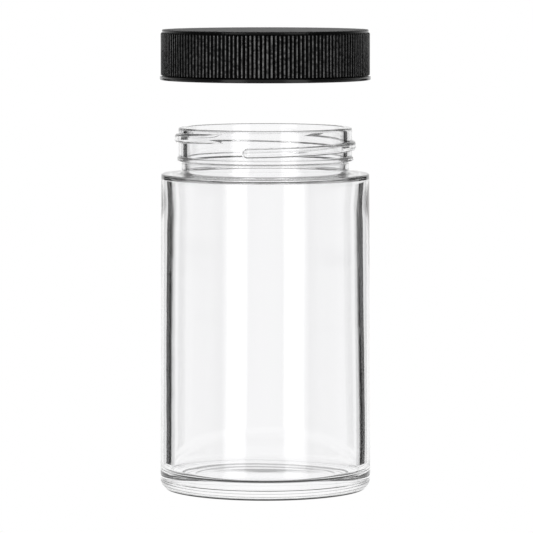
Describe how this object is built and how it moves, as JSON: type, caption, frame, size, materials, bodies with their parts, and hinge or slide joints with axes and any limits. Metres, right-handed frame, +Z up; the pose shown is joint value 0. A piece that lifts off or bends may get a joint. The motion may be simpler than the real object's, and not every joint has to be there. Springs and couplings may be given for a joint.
{
  "type": "specimen jar",
  "caption": "Clear straight-sided glass jar with a screw neck and a black ribbed push-and-turn closure raised above it.",
  "frame": {"origin": "centre of the flat ring the jar stands on, at table level", "axes": "+Z up along the axis of the jar and of its screw; front of the jar towards -Y, +X to the right in the picture"},
  "size_m": [0.0612, 0.0612, 0.1336],
  "materials": {
    "clear_glass": "clear soda-lime glass, fire-polished, almost colourless with a very faint cool tint",
    "black_shell": "black polypropylene with a fine satin grain",
    "inner_shell": "black polypropylene, smoother than the outside",
    "liner_foam": "white closed-cell foam",
    "liner_film": "thin white film with a slight sheen"
  },
  "bodies": {
    "jar": {"glass_jar": "clear_glass"},
    "liner": {"liner_backing": "liner_foam", "liner_facing": "liner_film"},
    "inner_shell": {"inner_cap": "inner_shell"},
    "outer_shell": {"outer_cap": "black_shell"}
  },
  "joints": [
    {"name": "closure_lift", "type": "slide", "parent": "jar", "child": "liner", "axis": [0, 0, 1], "range_m": [-0.02307, 0]},
    {"name": "closure_turn", "type": "hinge", "parent": "liner", "child": "inner_shell", "pos_m": [0, 0, 0.1185], "axis": [0, 0, 1], "range_deg": [-1962, 0]},
    {"name": "push_down", "type": "slide", "parent": "inner_shell", "child": "outer_shell", "axis": [0, 0, 1], "range_m": [-0.0012, 0], "stiffness_N_per_m": 3000}
  ],
  "couplings": [
    {"joint": "closure_lift", "follows": "closure_turn", "m_per_rad": 0.00067375}
  ]
}
